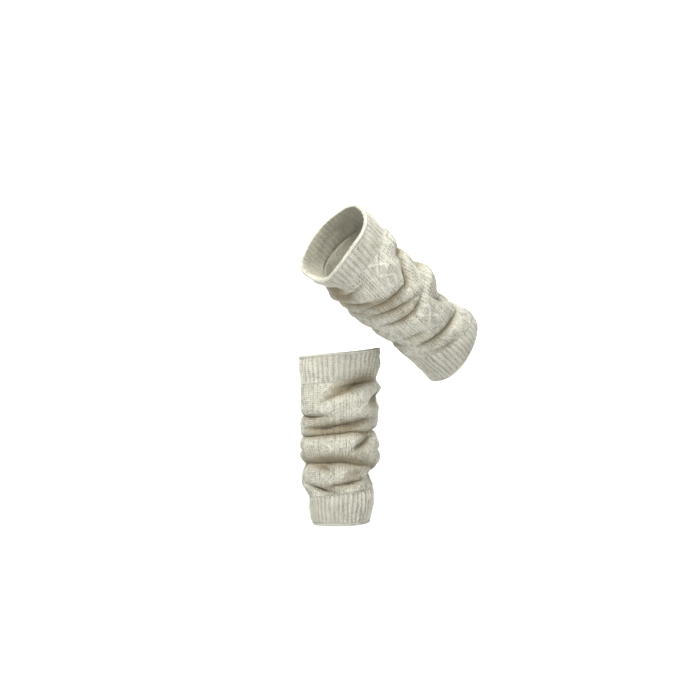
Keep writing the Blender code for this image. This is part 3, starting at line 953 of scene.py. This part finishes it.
def add_piece(name, mesh, wool, flat):
    """Put a stretch into the scene in place of the solid of its name."""
    mesh.materials.append(wool)
    piece = bpy.data.objects.new(name, mesh)
    bpy.context.scene.collection.objects.link(piece)
    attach(piece, "root")
    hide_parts(name.removesuffix("_knit"))
    triangles = sum(len(face.vertices) - 2 for face in mesh.polygons)
    print(f"{name}: {triangles} triangles, "
          f"{flat[0] * 1000:.0f} x {flat[1] * 1000:.0f} mm flat")


for tube in (STANDING, RAISED):
    name = tube.name + "_upper_cuff_knit"
    mesh, flat = knit_stretch(
        name, tube, CUFF_WALES, *UPPER_CUFF_ROWS,
        lambda a: round_the_edge(a, tube.upper_edge, "drop") + RIM_INSET,
        lambda a: seam_line(tube.upper_seam, a) - SEAM_HALF,
        cuff=True, mouth_first=True)
    add_piece(name, mesh, cuff_wool, flat)

    name = tube.name + "_body_knit"
    mesh, flat = knit_stretch(
        name, tube, BODY_WALES, *BODY_ROWS,
        lambda a: seam_line(tube.upper_seam, a) + SEAM_HALF,
        lambda a: seam_line(tube.lower_seam, a) - SEAM_HALF,
        cuff=False, mouth_first=False)
    add_piece(name, mesh, body_wool, flat)

    name = tube.name + "_lower_cuff_knit"
    mesh, flat = knit_stretch(
        name, tube, CUFF_WALES, *LOWER_CUFF_ROWS,
        lambda a: seam_line(tube.lower_seam, a) + SEAM_HALF,
        lambda a: round_the_edge(a, tube.lower_edge, "drop") - RIM_INSET,
        cuff=True, mouth_first=False)
    add_piece(name, mesh, cuff_wool, flat)

# %% [markdown]
# ## Floor and backdrop
# The pair is shown against plain white. One pale sheet makes the floor and curves up behind, so
# no line shows where they meet. It glows faintly, more so up the wall, which keeps the
# background white without flooding the wool with light. A white world colour alone would do
# that too, but it would leave the pair without a floor under it.

# %% A pale sweep
FLOOR = -0.476
BEND_START = 1.6          # how far behind the pair the floor begins to curve up
BEND_RADIUS = 0.9
GLOW_RISE = 0.7           # height over which the paint goes from floor to wall
FLOOR_PAINT, WALL_PAINT = (0.55, 0.55, 0.55, 1.0), (0.9, 0.9, 0.9, 1.0)
FLOOR_GLOW, WALL_GLOW = (0.28, 0.28, 0.28, 1.0), (0.8, 0.8, 0.8, 1.0)


def pale_sweep():
    """A floor that curves up into a wall."""
    arc = [(BEND_START + BEND_RADIUS * math.sin(t), FLOOR + BEND_RADIUS * (1 - math.cos(t)))
           for t in np.linspace(0, math.pi / 2, 17)]
    line = [(-4.0, FLOOR), (0.0, FLOOR)] + arc + [(BEND_START + BEND_RADIUS, 4.0)]
    points = [(x, y, z) for y, z in line for x in (-5.0, 5.0)]
    faces = [(2 * k, 2 * k + 1, 2 * k + 3, 2 * k + 2) for k in range(len(line) - 1)]
    mesh = bpy.data.meshes.new("pale_sweep")
    mesh.from_pydata(points, [], faces)
    mesh.shade_smooth()
    sweep = bpy.data.objects.new("pale_sweep", mesh)
    bpy.context.scene.collection.objects.link(sweep)
    paint, start = fresh_material("pale_paint")
    up = ((start.node("ShaderNodeNewGeometry").part(2) - FLOOR) / GLOW_RISE).kept()
    pale = up.blend(FLOOR_PAINT, WALL_PAINT)
    glow = up.blend(FLOOR_GLOW, WALL_GLOW)
    shader = start.node("ShaderNodeBsdfPrincipled", {}, 0, Base_Color=pale, Roughness=0.9,
                        Emission_Color=glow, Emission_Strength=1.0)
    shader.node("ShaderNodeOutputMaterial", Surface=shader)
    mesh.materials.append(paint)
    sweep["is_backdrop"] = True


pale_sweep()
print("floor at", FLOOR)

# %% [markdown]
# ## Light
# The key light stands high on the left and is small enough to draw the ribs and the shadows
# under the folds. A weaker light in front on the right opens the shadows on that side, a low one
# on the left reaches up under the folds, and a wide one lights the wall. The world adds a little
# light from all round. One large window light would be simpler, but the folds would look flat.

# %% Lights and world
WORLD_STRENGTH = 0.22


def soft_light(name, spot, aim, size, power, colour):
    """A square soft light aimed at a point."""
    lamp = bpy.data.lights.new(name, "AREA")
    lamp.size = size
    lamp.energy = power
    lamp.color = colour
    light = bpy.data.objects.new(name, lamp)
    light.location = spot
    light.rotation_euler = (Vector(aim) - Vector(spot)).to_track_quat("-Z", "Y").to_euler()
    bpy.context.scene.collection.objects.link(light)


WHITE = (1.0, 1.0, 1.0)
soft_light("key", (-0.4, -0.9, 1.35), (0.05, -0.05, -0.02), 0.42, 30.0, (1.0, 1.0, 0.97))
soft_light("front", (0.55, -1.0, 0.55), (0.14, -0.07, 0.14), 0.6, 9.0, WHITE)
soft_light("fill", (-0.85, -1.2, -0.05), (0.05, -0.1, 0.1), 0.7, 5.5, WHITE)
soft_light("backdrop", (0.0, 0.6, 2.6), (0.0, 2.0, 0.2), 2.5, 60.0, WHITE)
bpy.context.scene.view_settings.view_transform = "Standard"
world = bpy.data.worlds.new("room")
bpy.context.scene.world = world
world.use_nodes = True
background = world.node_tree.nodes["Background"]
background.inputs["Color"].default_value = (*WHITE, 1.0)
background.inputs["Strength"].default_value = WORLD_STRENGTH
print("lights:", [lamp.name for lamp in bpy.data.lights])

# %% [markdown]
# ## Camera
# The camera is level and looks along the front axis from two and a half metres away, as the
# picture shows no floor and little perspective. Its lens follows from that distance and from
# the width that it has to take in.

# %% Camera
VIEW_DISTANCE = 2.5
VIEW_WIDTH = 1.05

lens = bpy.data.cameras.new("camera")
lens.sensor_width = 36.0
lens.lens = lens.sensor_width * VIEW_DISTANCE / VIEW_WIDTH
lens.dof.use_dof = False
camera = bpy.data.objects.new("camera", lens)
camera.location = (0.01605, -VIEW_DISTANCE, 0.00375)
camera.rotation_euler = (math.pi / 2, 0.0, 0.0)
bpy.context.scene.collection.objects.link(camera)
bpy.context.scene.camera = camera
print("camera at", tuple(round(c, 3) for c in camera.location))

# %% [markdown]
# ## Sizes at the end
# The knitted pieces may stand a little proud of the plain solids, and the two boxes are printed
# side by side so that they can be compared.

# %% Print the sizes and finish
knit_box = [list(corner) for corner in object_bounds()]
for axis, low, high, knit_low, knit_high in zip("XYZ", *cad_box, *knit_box):
    print(f"{axis}: solids {low:.4f} to {high:.4f}, "
          f"knitting {knit_low:.4f} to {knit_high:.4f}")
